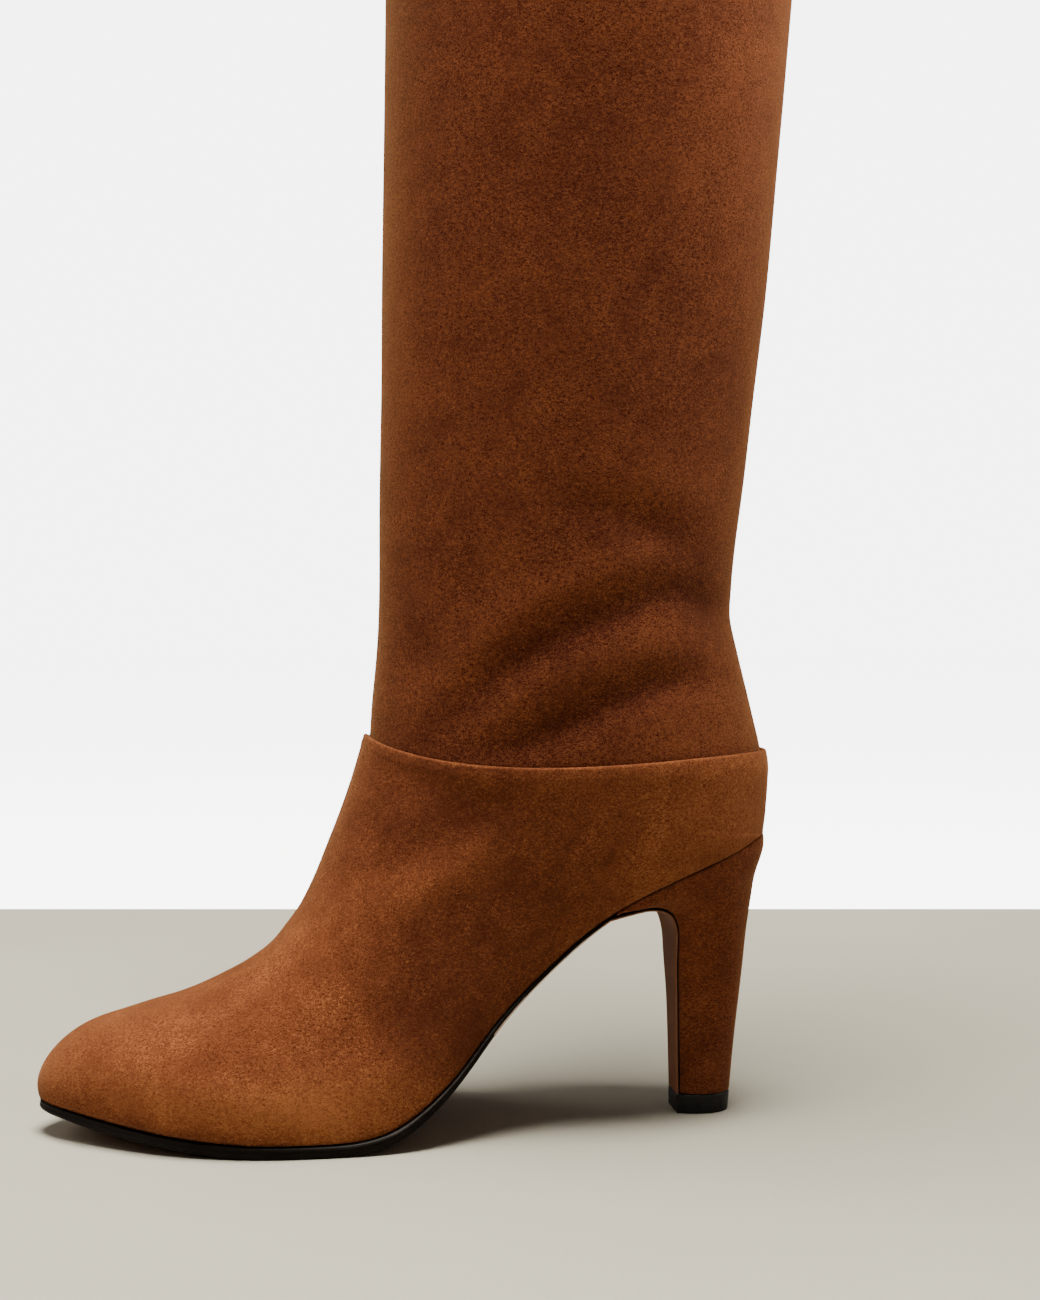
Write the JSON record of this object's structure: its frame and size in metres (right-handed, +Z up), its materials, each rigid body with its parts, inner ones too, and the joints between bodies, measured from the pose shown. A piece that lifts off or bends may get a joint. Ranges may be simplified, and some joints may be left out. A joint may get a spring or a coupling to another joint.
{
  "type": "over-the-knee boot",
  "caption": "Left over-the-knee boot in suede with an almond toe, a collar seam at the ankle, a leather sole and a covered high heel.",
  "frame": {"origin": "middle of the bounding box, on the ground", "axes": "+Z up along the leg, -Y towards the toe, +X towards the outer side of the foot"},
  "size_m": [0.122, 0.2564, 0.63],
  "materials": {
    "suede": "matt nap",
    "insole_leather": "smooth",
    "sole_leather": "satin",
    "tip_rubber": "matt"
  },
  "bodies": {
    "root": {"upper": "suede", "shaft": "suede", "heel": "suede", "insole": "insole_leather", "outsole": "sole_leather", "heel_tip": "tip_rubber"}
  },
  "joints": []
}
